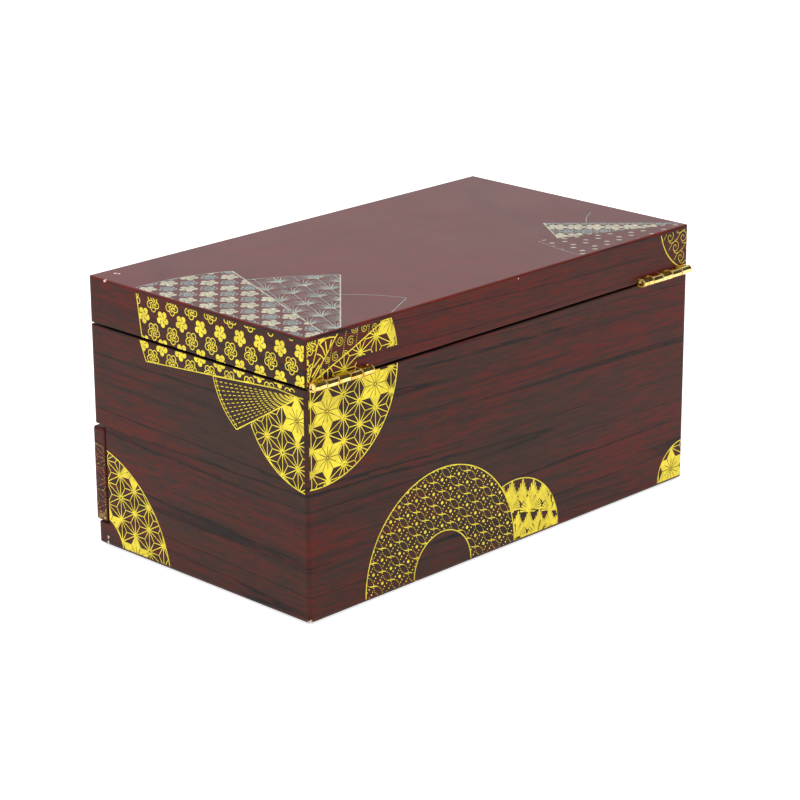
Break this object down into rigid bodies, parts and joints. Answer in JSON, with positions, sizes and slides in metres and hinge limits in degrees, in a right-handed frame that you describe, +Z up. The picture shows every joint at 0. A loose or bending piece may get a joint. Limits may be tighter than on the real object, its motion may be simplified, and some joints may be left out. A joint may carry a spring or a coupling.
{
  "type": "lacquer box",
  "caption": "Rectangular lacquered wooden box with a back-hinged lid over a lined compartment and a full-width drawer beneath, decorated with gold foil patterns.",
  "frame": {"origin": "centre of the underside of the felt, on the surface the box stands on", "axes": "+X along the length, +Y from the drawer front to the hinges at the back, +Z up"},
  "size_m": [0.26, 0.162, 0.1326],
  "materials": {
    "side_lacquer": "dark brown and red streaked lacquer, glossy, worn red along the edges",
    "lid_lacquer": "red-brown streaked lacquer, glossy",
    "inner_lacquer": "dark lacquer, satin",
    "drawer_wood": "plain planed wood, oiled",
    "velvet": "short-pile champagne velvet",
    "underside_felt": "dark red felt",
    "bumper_felt": "dark felt disc",
    "brass": "polished, lightly aged brass",
    "gold_foil": "gold foil, satin",
    "pale_foil": "pale champagne foil, satin"
  },
  "bodies": {
    "base": {"front_board": "side_lacquer", "front_rail": "side_lacquer", "back_board": "side_lacquer", "end_panel_right": "side_lacquer", "end_panel_left": "side_lacquer", "shelf_panel": "inner_lacquer", "bottom_panel": "inner_lacquer", "drawer_runner_right": "drawer_wood", "drawer_runner_left": "drawer_wood", "lining_back": "velvet", "lining_front": "velvet", "lining_right": "velvet", "lining_left": "velvet", "floor_lining": "velvet", "underside_felt": "underside_felt", "rim_bumper_right": "bumper_felt", "rim_bumper_left": "bumper_felt", "hinge_lower_leaf_right": "brass", "hinge_pin_right": "brass", "hinge_lower_screw_right_1": "brass", "hinge_lower_screw_right_2": "brass", "hinge_lower_screw_right_3": "brass", "hinge_lower_leaf_left": "brass", "hinge_pin_left": "brass", "hinge_lower_screw_left_1": "brass", "hinge_lower_screw_left_2": "brass", "hinge_lower_screw_left_3": "brass"},
    "lid": {"lid_top_panel": "lid_lacquer", "lid_front_rail": "side_lacquer", "lid_back_rail": "side_lacquer", "lid_end_rail_right": "side_lacquer", "lid_end_rail_left": "side_lacquer", "lid_pad": "velvet", "hinge_upper_leaf_right": "brass", "hinge_upper_screw_right_1": "brass", "hinge_upper_screw_right_2": "brass", "hinge_upper_screw_right_3": "brass", "hinge_upper_leaf_left": "brass", "hinge_upper_screw_left_1": "brass", "hinge_upper_screw_left_2": "brass", "hinge_upper_screw_left_3": "brass"},
    "drawer": {"drawer_front": "side_lacquer", "drawer_side_right": "drawer_wood", "drawer_side_left": "drawer_wood", "drawer_back": "drawer_wood", "drawer_bottom": "drawer_wood", "drawer_lining": "velvet", "drawer_knob": "brass", "knob_screw": "brass"}
  },
  "joints": [
    {"name": "lid_hinge", "type": "hinge", "parent": "base", "child": "lid", "pos_m": [0, 0.07435, 0.1107], "axis": [-1, 0, 0], "range_deg": [0, 185]},
    {"name": "drawer_slide", "type": "slide", "parent": "base", "child": "drawer", "axis": [0, -1, 0], "range_m": [-0.0016, 0.11]}
  ]
}
